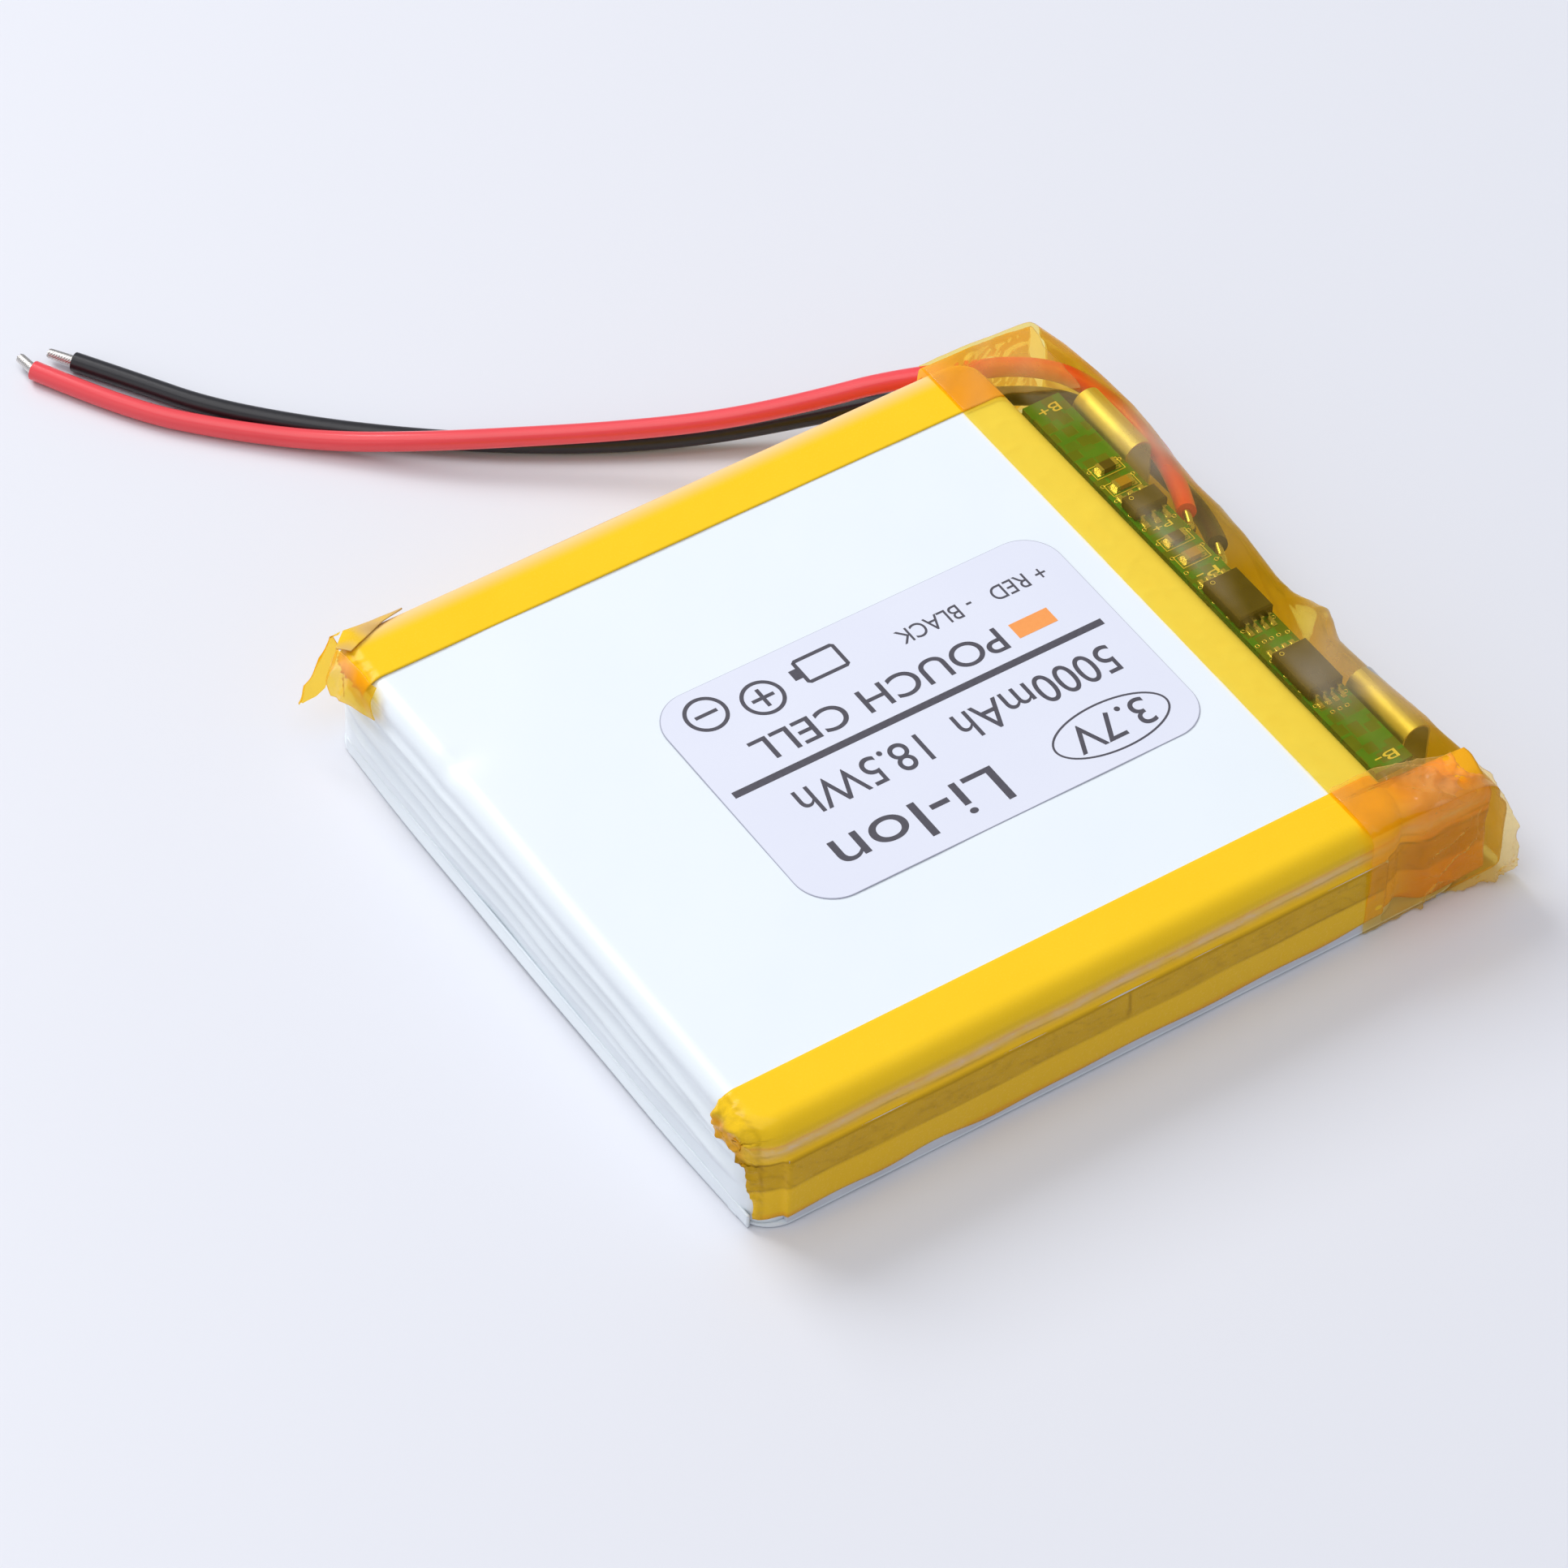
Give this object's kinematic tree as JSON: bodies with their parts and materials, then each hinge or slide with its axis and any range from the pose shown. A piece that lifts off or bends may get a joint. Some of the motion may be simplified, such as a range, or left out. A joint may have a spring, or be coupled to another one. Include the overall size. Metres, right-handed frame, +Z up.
{
  "type": "pouch battery cell",
  "caption": "Flat soft-pouch lithium cell with golden tape on its edges, a circuit board under clear film at one end and two free leads.",
  "frame": {"origin": "centre of the underside of the cell with its board end, leads left out, on the surface it lies on", "axes": "+Z up through the flat labelled face, +Y along the cell towards the circuit board end, +X across the cell, away from the side that the leads leave"},
  "size_m": [0.1007, 0.0652, 0.01],
  "materials": {
    "pouch_laminate": "satin white nylon face over aluminium foil laminate",
    "polyimide_tape": "clear golden polyimide tape, glossy",
    "clear_film": "clear golden polyimide film, glossy and wrinkled",
    "printed_label": "pale coated label with black print",
    "anode_coating": "black graphite coating on copper foil",
    "cathode_coating": "dark grey oxide coating on aluminium foil",
    "separator_film": "white porous film",
    "stack_tape": "green binding tape",
    "copper_foil": "bare copper foil",
    "aluminium_foil": "bare aluminium foil",
    "nickel": "plain nickel strip",
    "tab_sealant": "milky polypropylene sealing film",
    "insulation_paper": "pale insulating paper",
    "foam": "pale cream closed-cell foam",
    "board_mask": "green solder mask on glass-fibre board",
    "solder": "tinned copper and bright solder",
    "chip_package": "black moulded epoxy",
    "chip_ceramic": "tan ceramic chip body",
    "red_insulation": "satin red PVC insulation",
    "black_insulation": "satin black PVC insulation",
    "tinned_copper": "tinned stranded copper"
  },
  "bodies": {
    "root": {"anode_foil_tails": "copper_foil", "anode_sheets": "anode_coating", "black_lead": "black_insulation", "black_lead_inner": "black_insulation", "black_lead_tip": "tinned_copper", "black_strands": "tinned_copper", "board_film": "clear_film", "board_pads": "solder", "bottom_fold": "pouch_laminate", "cathode_foil_tails": "aluminium_foil", "cathode_sheets": "cathode_coating", "chip_capacitors": "chip_ceramic", "chip_resistors": "chip_package", "chip_terminals": "solder", "corner_tape_back": "polyimide_tape", "corner_tape_front": "polyimide_tape", "end_insulator": "insulation_paper", "foam_strip": "foam", "label": "printed_label", "mosfet_left": "chip_package", "mosfet_left_legs": "solder", "mosfet_right": "chip_package", "mosfet_right_legs": "solder", "negative_tab": "nickel", "negative_tab_sealant": "tab_sealant", "positive_tab": "aluminium_foil", "positive_tab_sealant": "tab_sealant", "pouch_cover": "pouch_laminate", "pouch_cup": "pouch_laminate", "protection_board": "board_mask", "protection_ic": "chip_package", "protection_ic_legs": "solder", "red_lead": "red_insulation", "red_lead_inner": "red_insulation", "red_lead_tip": "tinned_copper", "red_strands": "tinned_copper", "separators": "separator_film", "side_seal_back": "pouch_laminate", "side_seal_front": "pouch_laminate", "side_tape_back": "polyimide_tape", "side_tape_front": "polyimide_tape", "solder_joints": "solder", "stack_tapes": "stack_tape", "tab_weld_plates": "nickel", "tape_end_back": "polyimide_tape", "tape_end_front": "polyimide_tape", "top_seal": "pouch_laminate"}
  },
  "joints": []
}
